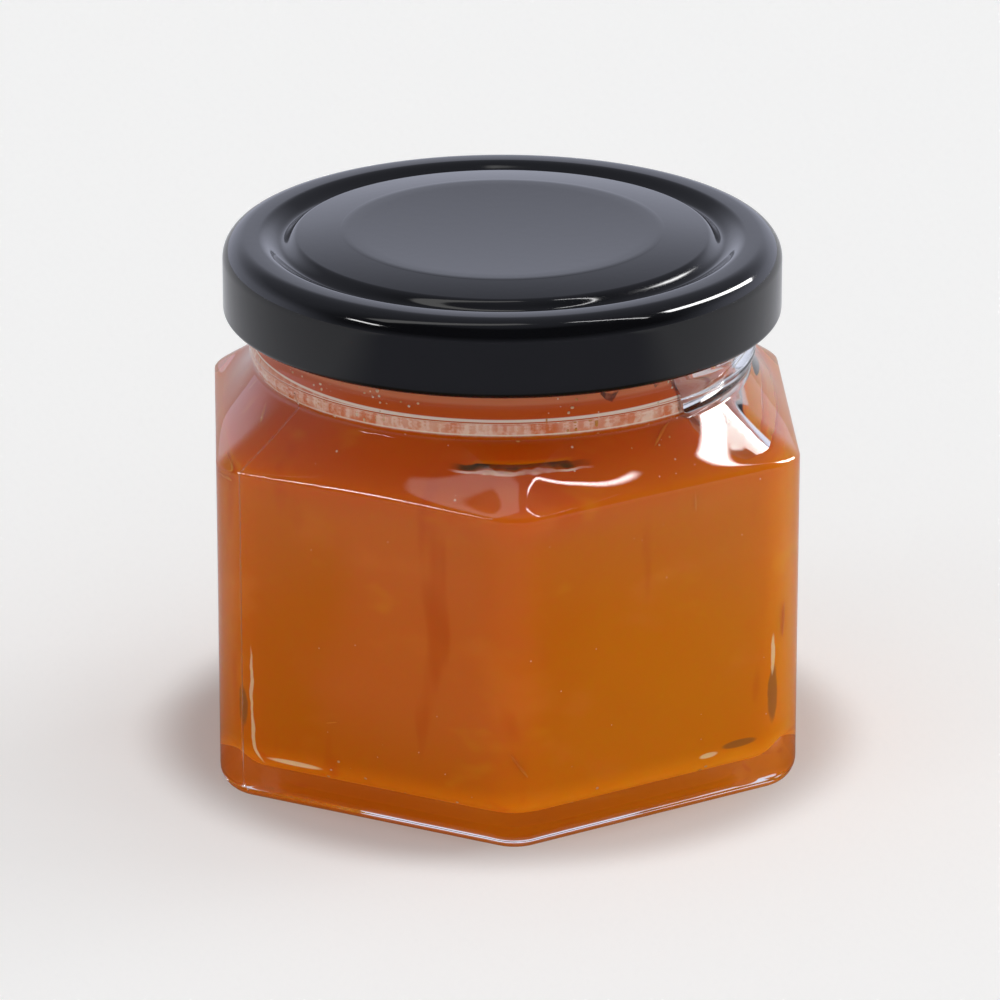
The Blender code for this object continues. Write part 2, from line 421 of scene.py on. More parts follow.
for name, start, end, wide, light, shine in SOFT_BOXES:
    hang_soft_box(name, start, end, wide, light)
print("soft boxes hang", BOX_DISTANCE, "m away")

# %% [markdown]
# ## A skin through rings
# Glass, jam and lid all follow one rule: a line of points is carried round the axis. On the neck
# and the lid it goes round a circle, and on the body round a hexagon with rounded corners, and
# on the shoulder the one turns into the other. A lathe can't do that, so the rule is written as
# a Geometry Nodes tree. Each point of the profile says how wide the hexagon is, how round its
# corner is, the circle's radius, and how far it has turned from hexagon into circle.

# %% Helpers for shape trees


def inputs_of(tree, shape, numbers, counts=()):
    """Declares a tree's inputs, the shape first and the finish last, and gives back their sockets."""
    sockets = [(shape, "Geometry")]
    sockets += [(name, "Float") for name in numbers]
    sockets += [(name, "Int") for name in counts]
    for name, kind in sockets + [("Finish", "Material")]:
        tree.interface.new_socket(name, in_out="INPUT", socket_type="NodeSocket" + kind)
    return add(tree, "NodeGroupInput").outputs


def end_tree(tree, geometry, finish):
    """Realizes what was instanced, gives it its finish and hands it out."""
    tree.interface.new_socket("Skin", in_out="OUTPUT", socket_type="NodeSocketGeometry")
    solid = add(tree, "GeometryNodeRealizeInstances", {"Geometry": geometry}).outputs[0]
    smooth = add(tree, "GeometryNodeSetShadeSmooth", {"Geometry": solid, "Shade Smooth": True}).outputs[0]
    done = add(tree, "GeometryNodeSetMaterial", {"Geometry": smooth, "Material": finish}).outputs[0]
    feed(add(tree, "NodeGroupOutput").inputs["Skin"], done)


def welded_skin(skin, distance):
    """The skin with its doubled points merged."""
    inputs = {"Geometry": skin, "Distance": distance}
    return add(skin.id_data, "GeometryNodeMergeByDistance", inputs).outputs[0]


print("helpers for shape trees are ready")

# %% Rounded hexagon
SIDES = 6
SIXTH = 2 * math.pi / SIDES


def rounded_hexagon(angle, half_width, corner):
    """Distance from the axis to the hexagon, by nodes, in one direction."""
    turned = maths("MODULO", plus(angle, SIXTH / 2), SIXTH)
    off_flat = maths("ABSOLUTE", minus(turned, SIXTH / 2))
    off_corner = minus(SIXTH / 2, off_flat)
    core = minus(half_width, corner)
    core_width = times(core, math.tan(SIXTH / 2))
    flat_ends = maths("ARCTAN2", core_width, half_width)
    on_flat = maths("DIVIDE", half_width, maths("COSINE", off_flat))
    centre = maths("DIVIDE", core, math.cos(SIXTH / 2))
    across = times(centre, maths("SINE", off_corner))
    under_root = minus(squared(corner), squared(across))
    reach = maths("SQRT", maths("MAXIMUM", under_root, 0.0))
    on_corner = maths("MULTIPLY_ADD", centre, maths("COSINE", off_corner), reach)
    flat = maths("LESS_THAN", off_flat, flat_ends)
    inputs = {"Factor": flat, "A": on_corner, "B": on_flat}
    return in_use(add(angle.id_data, "ShaderNodeMix", inputs, data_type="FLOAT").outputs, "Result")


print("hexagon turns by", round(math.degrees(SIXTH)), "degrees from side to side")

# %% Tree: turned rings
LEAST_WIDTH = 0.01 * MM
CALM_BY_AXIS = 4.0 * MM


def turned_rings_tree():
    """Profile points in, closed skin out."""
    tree = bpy.data.node_groups.new("turned_rings", "GeometryNodeTree")
    numbers = ("Corner Crowding", "Waver", "Waver Size", "Weld")
    given = inputs_of(tree, "Profile", numbers, ("Steps Round",))
    profile_size = add(tree, "GeometryNodeAttributeDomainSize", {"Geometry": given["Profile"]})
    rows = profile_size.outputs["Point Count"]
    columns = plus(given["Steps Round"], 1.0)
    grid = add(tree, "GeometryNodeMeshGrid", {"Vertices X": rows, "Vertices Y": columns}).outputs["Mesh"]
    index = add(tree, "GeometryNodeInputIndex").outputs[0]
    row = maths("FLOOR", maths("DIVIDE", plus(index, 0.5), columns))
    column = minus(index, times(row, columns))

    def of_profile(value, kind):
        inputs = {"Geometry": given["Profile"], "Value": value, "Index": row}
        node = add(tree, "GeometryNodeSampleIndex", inputs, data_type=kind, domain="POINT")
        return in_use(node.outputs, "Value")

    def attribute(name):
        node = add(tree, "GeometryNodeInputNamedAttribute", {"Name": name}, data_type="FLOAT")
        return of_profile(in_use(node.outputs, "Attribute"), "FLOAT")

    place = of_profile(add(tree, "GeometryNodeInputPosition").outputs[0], "FLOAT_VECTOR")
    half_width, circle, height = parts_of(place)
    half_width = maths("MAXIMUM", half_width, LEAST_WIDTH)
    even = times(maths("DIVIDE", column, given["Steps Round"]), 2 * math.pi)
    wave = maths("SINE", times(even, float(SIDES)))
    crowd = maths("DIVIDE", given["Corner Crowding"], float(SIDES))
    angle = maths("MULTIPLY_ADD", crowd, wave, even)
    hexagon = rounded_hexagon(angle, half_width, attribute("corner"))
    inputs = {"Factor": attribute("round"), "A": hexagon, "B": circle}
    radius = in_use(add(tree, "ShaderNodeMix", inputs, data_type="FLOAT").outputs, "Result")
    ahead, aside = maths("COSINE", angle), maths("SINE", angle)
    true_place = vector_of(times(radius, ahead), times(radius, aside), height)
    centred = minus(noise(true_place, given["Waver Size"], 1.0), 0.5)
    off_axis = ramp(radius, 0.0, CALM_BY_AXIS)
    wide = plus(radius, times(times(centred, given["Waver"]), off_axis))
    moved = vector_of(times(wide, ahead), times(wide, aside), height)
    skin = add(tree, "GeometryNodeSetPosition", {"Geometry": grid, "Position": moved}).outputs[0]
    welded = welded_skin(skin, given["Weld"])
    outward = add(tree, "GeometryNodeFlipFaces", {"Mesh": welded}).outputs[0]
    end_tree(tree, outward, given["Finish"])
    return tree


turned_rings = turned_rings_tree()
print("turned rings:", len(turned_rings.nodes), "nodes")

# %% Helpers: profile points and finished meshes


def profile_object(name, rows):
    """Loose points that carry the ring sizes: half width, circle and height, with corner and round share."""
    mesh = bpy.data.meshes.new(name)
    mesh.from_pydata([(half, circle, height) for half, corner, circle, share, height in rows], [], [])
    for label, column in (("corner", 1), ("round", 3)):
        values = mesh.attributes.new(label, "FLOAT", "POINT").data
        values.foreach_set("value", [row[column] for row in rows])
    return new_object(name, mesh)


def run_tree(piece, tree, values):
    """Puts a tree on a piece as a modifier and sets its named inputs by their identifiers."""
    modifier = piece.modifiers.new(tree.name, "NODES")
    modifier.node_group = tree
    for item in tree.interface.items_tree:
        if item.item_type == "SOCKET" and item.in_out == "INPUT" and item.name in values:
            modifier[item.identifier] = values[item.name]


def turn_into_mesh(piece):
    """Replaces a piece's points and live trees by the plain mesh that they make."""
    depsgraph = bpy.context.evaluated_depsgraph_get()
    made = bpy.data.meshes.new_from_object(piece.evaluated_get(depsgraph))
    piece.modifiers.clear()
    made.name = piece.name
    piece.data = made
    triangles = sum(len(p.vertices) - 2 for p in made.polygons)
    body = bmesh.new()
    body.from_mesh(made)
    volume = body.calc_volume(signed=True) / (10 * MM) ** 3
    body.free()
    print(piece.name, "has", triangles, "triangles and holds", round(volume, 2), "cubic cm")


print("profile and mesh helpers are ready")

# %% [markdown]
# ## Sizes of the jar
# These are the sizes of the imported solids, repeated because this file reads nothing but the
# frame. The shoulder is one curve: a tight bend takes it off the side, and a steep slope runs
# up to the neck, while the hexagon turns into a circle.

# %% Jar sizes
HALF_WIDTH = 31.0 * MM
CORNER_RADIUS = 5.0 * MM
HEEL_RADIUS = 3.0 * MM
SHOULDER_START = 37.3 * MM
SHOULDER_LEAN = 0.36
SHOULDER_LOW_RISE = 0.12
SHOULDER_HIGH_RISE = 0.30
NECK_FOOT_RADIUS = 26.6 * MM
NECK_FOOT_HEIGHT = 43.4 * MM
BEAD_RADIUS = 27.3 * MM
SEAM_HEIGHT = 45.4 * MM
SEAM_DEPTH = 0.15 * MM
BEAD_TOP_HEIGHT = 47.2 * MM
FINISH_RADIUS = 26.9 * MM
RIM_HEIGHT = 56.6 * MM
WALL = 2.6 * MM
INNER_CORNER_RADIUS = 4.0 * MM
GLASS_FLOOR = 3.4 * MM
INNER_HEEL_RADIUS = 4.0 * MM
INNER_SHOULDER_START = 36.2 * MM
INNER_NECK_HEIGHT = 42.6 * MM
MOUTH_RADIUS = 24.8 * MM
BASE_HOLLOW_DEPTH = 0.7 * MM
STANDING_RING_INSET = 7.0 * MM
BASE_HOLLOW_INSET = 9.5 * MM
print("wall is", WALL / MM, "mm and glass floor", GLASS_FLOOR / MM, "mm")

# %% Profile rows
TIGHTEST_CORNER = 0.25
SIDE_SHARES = (0.1, 0.35, 0.65, 0.9)


def shoulder_curve(share):
    """How far in and how far up the shoulder has come, each from 0 to 1."""
    rest = 1 - share
    inward = 3 * rest * share ** 2 * SHOULDER_LEAN + share ** 3
    low = 3 * rest ** 2 * share * SHOULDER_LOW_RISE
    high = 3 * rest * share ** 2 * SHOULDER_HIGH_RISE
    return inward, low + high + share ** 3


def eased(share):
    """A rise that is level at both ends."""
    return (1 - math.cos(math.pi * share)) / 2


def hexagon_row(half, corner, height):
    """One profile row where the ring is a hexagon."""
    return (half, corner, 0.0, 0.0, height)


def circle_row(radius, height):
    """One profile row where the ring is a circle."""
    return (0.0, 0.0, radius, 1.0, height)


def shoulder_rows(half, corner, start, neck_radius, neck_height, steps):
    """Profile rows of the shoulder, inside or outside."""
    rows = []
    for step in range(steps + 1):
        inward, upward = shoulder_curve(step / steps)
        rows.append((half, corner, neck_radius, inward, start + (neck_height - start) * upward))
    return rows


def heel_rows(half, corner, radius, foot, steps):
    """Profile rows of a rounded bottom edge. The corner tightens in step with the inset."""
    rows = []
    for step in range(steps + 1):
        turn = math.pi / 2 * step / steps
        inset = radius * (1 - math.sin(turn))
        tight = max(corner - inset, corner * TIGHTEST_CORNER)
        rows.append(hexagon_row(half - inset, tight, foot + radius * (1 - math.cos(turn))))
    return rows


print("halfway up, the shoulder has come in by a share of", round(shoulder_curve(0.5)[0], 2))

# %% Profile of the base and the neck


def base_rows():
    """The hollow under the base and the ring that the jar stands on."""
    rows = [circle_row(0.0, BASE_HOLLOW_DEPTH)]
    for share in (0.4, 0.7, 1.0):
        half = (HALF_WIDTH - BASE_HOLLOW_INSET) * share
        rows.append(hexagon_row(half, CORNER_RADIUS * half / HALF_WIDTH, BASE_HOLLOW_DEPTH))
    for step in range(1, 9):
        share = step / 8
        half = HALF_WIDTH - BASE_HOLLOW_INSET + (BASE_HOLLOW_INSET - STANDING_RING_INSET) * share
        height = BASE_HOLLOW_DEPTH * (1 - eased(share))
        rows.append(hexagon_row(half, CORNER_RADIUS * half / HALF_WIDTH, height))
    return rows


def neck_rows():
    """The bead with its mould seam, the plain finish above it and the rounded rim."""
    rows = []
    bulge = BEAD_RADIUS - NECK_FOOT_RADIUS
    for step in range(1, 9):
        share = step / 9
        height = NECK_FOOT_HEIGHT + (SEAM_HEIGHT - NECK_FOOT_HEIGHT) * share
        rows.append((NECK_FOOT_RADIUS + bulge * math.sin(math.pi / 2 * share), height))
    rows.append((BEAD_RADIUS - SEAM_DEPTH, SEAM_HEIGHT))
    for step in range(9):
        share = step / 8
        height = SEAM_HEIGHT + SEAM_DEPTH + (BEAD_TOP_HEIGHT - SEAM_HEIGHT) * share
        rows.append((BEAD_RADIUS - (BEAD_RADIUS - FINISH_RADIUS) * eased(share), height))
    lip = (FINISH_RADIUS - MOUTH_RADIUS) / 2
    for step in range(17):
        turn = math.pi * step / 16
        rows.append((MOUTH_RADIUS + lip + lip * math.cos(turn), RIM_HEIGHT - lip + lip * math.sin(turn)))
    return [circle_row(*row) for row in rows]


print("base has", len(base_rows()), "rows and neck", len(neck_rows()))

# %% Profile of the inside, and of the whole glass


def inside_rows(reach, steps):
    """The inside from the floor's middle up to the neck, pushed outwards by reach."""
    half = HALF_WIDTH - WALL + reach
    corner = INNER_CORNER_RADIUS + reach
    rows = [circle_row(0.0, GLASS_FLOOR - reach)]
    for share in (0.4, 0.7, 0.9):
        edge = (half - INNER_HEEL_RADIUS) * share
        rows.append(hexagon_row(edge, corner * edge / half, GLASS_FLOOR - reach))
    rows += heel_rows(half, corner, INNER_HEEL_RADIUS, GLASS_FLOOR - reach, 12)
    for share in SIDE_SHARES:
        foot = GLASS_FLOOR - reach + INNER_HEEL_RADIUS
        rows.append(hexagon_row(half, corner, foot + (INNER_SHOULDER_START + reach - foot) * share))
    rows += shoulder_rows(half, corner, INNER_SHOULDER_START + reach, MOUTH_RADIUS + reach,
                          INNER_NECK_HEIGHT + reach, steps)
    return rows


def glass_rows():
    """From under the base up the outside, over the rim and down the inside."""
    rows = base_rows() + heel_rows(HALF_WIDTH, CORNER_RADIUS, HEEL_RADIUS, 0.0, 10)
    for share in SIDE_SHARES:
        height = HEEL_RADIUS + (SHOULDER_START - HEEL_RADIUS) * share
        rows.append(hexagon_row(HALF_WIDTH, CORNER_RADIUS, height))
    rows += shoulder_rows(HALF_WIDTH, CORNER_RADIUS, SHOULDER_START, NECK_FOOT_RADIUS, NECK_FOOT_HEIGHT, 28)
    rows += neck_rows()
    rows += list(reversed(inside_rows(0.0, 24)))
    return rows


print("glass profile has", len(glass_rows()), "rows")

# %% [markdown]
# ## Clear glass
# The real wall is thick soda glass, smooth as water, with a slight waver that bends what is seen
# through it. A full glass shader gives the bright lines at the corners and the base by itself.
# Light on its way to or from the jam goes straight through, as a plain see-through stand-in,
# because tracing it through two bent surfaces would take far too long.

# %% Glass finish
GLASS_TINT = (0.97, 0.985, 0.975, 1.0)
LET_THROUGH = (0.95, 0.96, 0.955, 1.0)
HAZE_LIMITS = (0.45, 0.8)
MOST_HAZE = 0.03


def clear_glass():
    """Soda glass with the faintest haze where hands and the mould have been."""
    made, shader, place = new_finish("clear_moulded_glass")
    tree = made.node_tree
    haze = ramp(noise(place, 90.0, 3.0), *HAZE_LIMITS)
    fill(shader, {"Base Color": GLASS_TINT, "IOR": 1.5, "Specular IOR Level": 0.35,
                  "Transmission Weight": 1.0, "Roughness": times(haze, MOST_HAZE)})
    clear = add(tree, "ShaderNodeBsdfTransparent", {"Color": LET_THROUGH})
    rays = add(tree, "ShaderNodeLightPath").outputs
    seen = either(rays["Is Shadow Ray"], shader, clear)
    seen = either(rays["Is Diffuse Ray"], seen, clear)
    feed(tree.nodes["Material Output"].inputs["Surface"], seen.outputs[0])
    return made


glass_finish = clear_glass()
print("glass bends light by", glass_finish.node_tree.nodes["Principled BSDF"].inputs["IOR"].default_value)

# %% Glass shell
STEPS_ROUND = 288
WELD = 0.004 * MM

glass_shell = profile_object("glass_shell", glass_rows())
run_tree(glass_shell, turned_rings, {
    "Steps Round": STEPS_ROUND, "Corner Crowding": 0.6, "Waver": 0.05 * MM, "Waver Size": 110.0,
    "Weld": WELD, "Finish": glass_finish})
turn_into_mesh(glass_shell)
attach(glass_shell, "root")
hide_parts("glass_jar")

# %% [markdown]
# ## Jam
# Jam fills the jar up to the neck and clings to the glass. Where it touches the wall there is no
# air, so its skin is carried a little way into the glass: light then goes from glass straight
# into jam, as it really does. On one side it has slumped and left an air pocket under the
# shoulder. The top is cut by a second tree, which lowers every point that stands above the level.

# %% Tree: poured top
POCKET_TURN = 0.03
POCKET_HALF_TURN = 0.17
POCKET_HALF_HEIGHT = 0.4 * MM
POCKET_EDGE = (-1.1, -0.7)
RAGGED = 3.0
FILM_EDGE = 0.3 * MM
DRY_FROM = 0.8


def poured_top_tree():
    """Lowers what stands above the jam's top, and draws the skin back where air is caught."""
    tree = bpy.data.node_groups.new("poured_top", "GeometryNodeTree")
    numbers = ("Level", "Slump", "Slump Start", "Slump End", "Ripple", "Pocket Height", "Pocket Depth",
               "Film Radius", "Film Rise", "Weld")
    given = inputs_of(tree, "Skin", numbers)
    place = add(tree, "GeometryNodeInputPosition").outputs[0]
    x, y, z = parts_of(place)
    centred = minus(noise(place, 260.0, 2.0), 0.5)

    side = maths("ARCTAN2", x, times(y, -1.0))
    along = squared(maths("DIVIDE", minus(side, POCKET_TURN), POCKET_HALF_TURN))
    up = maths("DIVIDE", minus(z, given["Pocket Height"]), POCKET_HALF_HEIGHT)
    spread = plus(along, squared(up))
    edge = maths("MULTIPLY_ADD", centred, RAGGED, spread)
    caught = ramp(times(edge, -1.0), *POCKET_EDGE)
    draw = times(caught, given["Pocket Depth"])
    flat_place = vector_of(x, y)
    outward = add(tree, "ShaderNodeVectorMath", {"Vector": flat_place}, operation="NORMALIZE").outputs[0]
    inputs = {"Geometry": given["Skin"], "Offset": scaled(outward, times(draw, -1.0))}
    skin = add(tree, "GeometryNodeSetPosition", inputs).outputs[0]

    share = ramp(x, given["Slump Start"], given["Slump End"])
    level = minus(given["Level"], times(share, given["Slump"]))
    top = maths("MULTIPLY_ADD", centred, given["Ripple"], level)
    radius = maths("SQRT", plus(squared(x), squared(y)))
    film_start = minus(given["Film Radius"], FILM_EDGE)
    clings = ramp(radius, film_start, given["Film Radius"])
    dry = ramp(x, given["Slump Start"], times(given["Slump End"], DRY_FROM))
    uneven = maths("MULTIPLY_ADD", centred, RAGGED, 1.0)
    rise = times(given["Film Rise"], times(uneven, minus(1.0, dry)))
    top = maths("MULTIPLY_ADD", clings, rise, top)
    cut = vector_of(x, y, maths("MINIMUM", z, top))
    lowered = add(tree, "GeometryNodeSetPosition", {"Geometry": skin, "Position": cut}).outputs[0]
    end_tree(tree, welded_skin(lowered, given["Weld"]), given["Finish"])
    return tree


poured_top = poured_top_tree()
print("poured top:", len(poured_top.nodes), "nodes")

# %% [markdown]
# Jam is cloudy amber: light goes in, wanders a few millimetres and comes out redder. The shader
# does that with subsurface scattering. The colour isn't even either. It is a deeper orange up at
# the shoulder, which is painted shade under the lid, and on the shaded side, and more golden
# towards the lit side and the bottom, which is painted light, with faint shreds of peel and fruit
# that hang in it. Above the level a thin frothy film clings to the neck, pinker and paler. The
# bottom glows a little, because daylight that enters the thick glass base runs along inside it
# and comes out there, which would take too long to trace.

# %% Colours of the jam
# The deepest orange is painted shade under the lid, and the gold is painted light on the lit side and towards
# the bottom
UNDER_LID_SHADE = (0.58, 0.085, 0.001, 1.0)
AMBER = (0.60, 0.145, 0.003, 1.0)
PAINTED_LIGHT_GOLD = (0.67, 0.20, 0.004, 1.0)
PALE_FLESH = (0.72, 0.21, 0.025, 1.0)
RED_PEEL = (0.52, 0.07, 0.004, 1.0)
# A pale pink reflection of the room, painted on the jam
PAINTED_PINK_REFLECTION = (0.68, 0.155, 0.030, 1.0)
YELLOW_PEEL = (0.76, 0.34, 0.012, 1.0)
# The drift from amber to gold, which is painted light towards the lit side and the bottom, and the
# heights over which the jam deepens to orange, which is painted shade under the lid
DRIFT = 26.0 * MM
DRIFT_LEAN = 0.35
PAINTED_LIGHT_SPAN = (-16.0 * MM, 22.0 * MM)
UNDER_LID_SHADE_SPAN = (33.0 * MM, 41.0 * MM)
UNDER_LID_SHADE_UNEVEN = 0.3
# Where a pale pink reflection is painted on the jam: its middle from left to right and in height, and how far
# it reaches
REFLECTION_PLACE = -9.0 * MM
REFLECTION_WIDE = (3.0 * MM, 14.0 * MM)
REFLECTION_HEIGHT = 22.0 * MM
REFLECTION_TALL = (6.0 * MM, 18.0 * MM)
REFLECTION_SHARE = 0.6
# Shreds: colour, turn, stretch, noise scale, noise where they start and are full, share
SHREDS = (
    (PALE_FLESH, (0.3, 0.5, 0.2), (0.35, 1.0, 1.0), 160.0, (0.55, 0.75), 0.35),
    (RED_PEEL, (0.9, 0.2, 0.6), (1.0, 1.0, 0.22), 190.0, (0.62, 0.72), 0.5),
    (YELLOW_PEEL, (0.1, 0.9, 1.1), (0.2, 1.0, 1.0), 210.0, (0.62, 0.76), 0.2),
)


def body_colour(place, x, z):
    """Amber, golder towards the lit side and the bottom (painted light), deeper orange under the lid (painted
    shade), a pale pink painted reflection, and shreds of fruit and peel in it.
    """
    uneven = times(minus(noise(place, 45.0, 3.0), 0.5), DRIFT)
    # painted light: golder towards the lit right side and the bottom
    lit_side = minus(plus(x, uneven), times(z, DRIFT_LEAN))
    colour = blend_colours(ramp(lit_side, *PAINTED_LIGHT_SPAN), AMBER, PAINTED_LIGHT_GOLD)
    # painted shade: a deeper orange high up, under the lid
    high = plus(z, times(uneven, UNDER_LID_SHADE_UNEVEN))
    colour = blend_colours(ramp(high, *UNDER_LID_SHADE_SPAN), colour, UNDER_LID_SHADE)
    # painted reflection: a pale pink patch left of the middle
    pink_reflection = near(plus(x, uneven), REFLECTION_PLACE, *REFLECTION_WIDE)
    pink_reflection = times(pink_reflection, near(z, REFLECTION_HEIGHT, *REFLECTION_TALL))
    colour = blend_colours(times(pink_reflection, REFLECTION_SHARE), colour, PAINTED_PINK_REFLECTION)
    for tint, turn, stretch, scale, limits, share in SHREDS:
        inputs = {"Vector": place, "Rotation": turn, "Scale": stretch}
        drawn_out = add(place.id_data, "ShaderNodeMapping", inputs).outputs[0]
        shred = ramp(noise(drawn_out, scale, 2.0), *limits)
        colour = blend_colours(times(shred, share), colour, tint)
    return colour


print("jam has", len(SHREDS), "kinds of shred in it")

# %% Film of froth on the neck
FILM_PINK = (0.74, 0.17, 0.060, 1.0)
FILM_ORANGE = (0.62, 0.08, 0.004, 1.0)
FOAM_WHITE = (0.94, 0.58, 0.46, 1.0)
CREAM_LINE = (0.98, 0.80, 0.68, 1.0)
FOAM_TOP = 45.05 * MM
DARK_TOP = 46.9 * MM
BAND_EDGE = 0.2 * MM
# Two thin cream lines across the film are painted highlights: their heights, widths and share
HIGHLIGHT_LINE_HEIGHTS = (44.0 * MM, 45.15 * MM)
HIGHLIGHT_LINE_WIDE = (0.04 * MM, 0.12 * MM)
HIGHLIGHT_LINE_SHARE = 0.8
FROTH_SHARE = 0.58
FINE_FROTH = (0.40, 0.66)
COARSE_FROTH = (0.36, 0.70)


def over(height, edge_height):
    """0 below a height on the neck, 1 above it, with a soft edge."""
    return ramp(height, edge_height - BAND_EDGE, edge_height + BAND_EDGE)


def film_colour(place, z, froth):
    """Pale foam at the film's foot, a darker orange band above it, and pink above that, crossed by two thin
    cream lines that are painted highlights.
    """
    fine = ramp(noise(place, 1500.0, 3.0), *FINE_FROTH)
    frothy = times(plus(fine, ramp(froth, *COARSE_FROTH)), FROTH_SHARE)
    foam = blend_colours(frothy, FILM_PINK, FOAM_WHITE)
    film = blend_colours(over(z, FOAM_TOP), foam, FILM_ORANGE)
    film = blend_colours(over(z, DARK_TOP), film, FILM_PINK)
    # painted highlights: a thin cream line at each height
    for height in HIGHLIGHT_LINE_HEIGHTS:
        on_highlight_line = times(near(z, height, *HIGHLIGHT_LINE_WIDE), HIGHLIGHT_LINE_SHARE)
        film = blend_colours(on_highlight_line, film, CREAM_LINE)
    return film


print("foam ends", round(FOAM_TOP / MM, 2), "mm up")

# %% Air pocket and painted corner streaks
DARK_AIR = (0.09, 0.040, 0.008, 1.0)
# The thin air pocket under the front of the shoulder: its height, the dark line painted along it, and the
# pale line under it, a painted highlight
POCKET_HEIGHT = 40.2 * MM
DARK_LINE = (0.16 * MM, 0.34 * MM)
POCKET_GLINT_LINE = (0.05 * MM, 0.14 * MM)
POCKET_GLINT_DROP = 0.42 * MM
POCKET_GLINT_SHARE = 0.7
LINE_TURNS = (0.21, 0.29)
LINE_WOBBLE = 0.5 * MM
LINE_PATCHES = (0.40, 0.60)
LINE_FAINTEST = 0.45
# Pale and dark streaks painted at the two side corners in place of what the thick glass corners
# reflect and bend there, the pale ones painted reflections: where (turn from the front, height), half size,
# tint
STREAK_DARK = (0.16, 0.085, 0.03, 1.0)
STREAK_PALE_REFLECTION = (0.85, 0.70, 0.45, 1.0)
STREAK_SHARE = 0.6
STREAK_WOBBLE = 0.025
STREAK_EDGE = (0.5, 1.2)
CORNER_STREAKS = (
    ((-1.000, 13.0 * MM), (0.006, 4.5 * MM), STREAK_PALE_REFLECTION),
    ((-0.998, 7.0 * MM), (0.008, 3.0 * MM), STREAK_PALE_REFLECTION),
    ((-1.035, 10.5 * MM), (0.020, 2.4 * MM), STREAK_DARK),
    ((1.030, 11.0 * MM), (0.024, 3.4 * MM), STREAK_DARK),
    ((1.026, 15.5 * MM), (0.010, 2.4 * MM), STREAK_PALE_REFLECTION),
    ((0.900, 6.2 * MM), (0.070, 0.5 * MM), STREAK_DARK),
    ((0.780, 5.6 * MM), (0.040, 0.35 * MM), STREAK_PALE_REFLECTION),
    ((-0.860, 4.8 * MM), (0.110, 0.35 * MM), STREAK_PALE_REFLECTION),
)


def with_pocket(colour, side, z, froth):
    """Draws the dark line of the air pocket, and the pale line just under it, a painted highlight."""
    wobble = times(minus(froth, 0.5), LINE_WOBBLE)
    up = minus(plus(z, wobble), POCKET_HEIGHT)
    patchy = maths("MULTIPLY_ADD", ramp(froth, *LINE_PATCHES), 0.5, LINE_FAINTEST)
    beside = times(near(side, POCKET_TURN, *LINE_TURNS), patchy)
    dark = near(up, 0.0, *DARK_LINE)
    colour = blend_colours(times(dark, beside), colour, DARK_AIR)
    # painted highlight: a pale line just under the pocket
    pale = times(near(up, -POCKET_GLINT_DROP, *POCKET_GLINT_LINE), POCKET_GLINT_SHARE)
    return blend_colours(times(pale, beside), colour, CREAM_LINE)


def with_corner_streaks(colour, side, z, froth):
    """Paints each corner streak as a soft oval on the jam's skin; the pale ones are painted reflections."""
    wobble = times(minus(froth, 0.5), STREAK_WOBBLE)
    turn = plus(side, wobble)
    for middle, half, tint in CORNER_STREAKS:
        across = maths("DIVIDE", minus(turn, middle[0]), half[0])
        up = maths("DIVIDE", minus(z, middle[1]), half[1])
        off = plus(squared(across), squared(up))
        streak = minus(1.0, ramp(off, *STREAK_EDGE))
        colour = blend_colours(times(streak, STREAK_SHARE), colour, tint)
    return colour


print("gaps painted at the side corners:", len(CORNER_STREAKS))

# %% Jam finish
FILM_FOOT = 43.9 * MM
FILM_CLOUDS = 0.75
BASE_GLOW = 0.31
GLOW_HEIGHTS = (3.6 * MM, 7.0 * MM)


def orange_jam():
    """Cloudy amber below, frothy film above, the air pocket, and painted streaks at the side corners."""
    made, shader, place = new_finish("orange_jam")
    made.cycles.emission_sampling = "NONE"
    x, y, z = parts_of(place)
    froth = noise(place, 350.0, 2.0)
    side = maths("ARCTAN2", x, times(y, -1.0))
    in_film = over(z, FILM_FOOT)
    colour = body_colour(place, x, z)
    colour = blend_colours(in_film, colour, film_colour(place, z, froth))
    colour = with_pocket(colour, side, z, froth)
    colour = with_corner_streaks(colour, side, z, froth)
    under = minus(1.0, ramp(z, *GLOW_HEIGHTS))
    fill(shader, {"Base Color": colour, "Emission Color": colour,
                  "Emission Strength": times(under, BASE_GLOW),
                  "Subsurface Weight": minus(1.0, times(in_film, FILM_CLOUDS)),
                  "Subsurface Radius": (1.0, 0.35, 0.08), "Subsurface Scale": 9.0 * MM,
                  "Roughness": 0.35, "Specular IOR Level": 0.05})
    return made


jam_finish = orange_jam()
print("jam finish has", len(jam_finish.node_tree.nodes), "nodes")

# %% Jam fill
JAM_REACH = 0.15 * MM
JAM_LEVEL = 44.2 * MM
ABOVE_LEVEL = JAM_LEVEL + 1.0 * MM
JAM_SLUMP = 6.8 * MM
SLUMP_START = 13.0 * MM
SLUMP_END = 25.0 * MM
JAM_TOP_RINGS = 18
FILM_THICK = 0.5 * MM
FILM_TOP = 52.5 * MM
FILM_RISE = 7.0 * MM


def jam_rows():
    """Up inside the glass and the neck, down the film's other face, and over the top to the axis."""
    rows = inside_rows(JAM_REACH, 28)
    foot = rows[-1][-1]
    for step in range(1, 11):
        rows.append(circle_row(MOUTH_RADIUS + JAM_REACH, foot + (FILM_TOP - foot) * step / 10))
    radius = MOUTH_RADIUS + JAM_REACH - FILM_THICK
    for step in range(9):
        rows.append(circle_row(radius, FILM_TOP + (ABOVE_LEVEL - FILM_TOP) * step / 8))
    for ring in range(1, JAM_TOP_RINGS + 1):
        rows.append(circle_row(radius * (1 - ring / JAM_TOP_RINGS), ABOVE_LEVEL))
    return rows


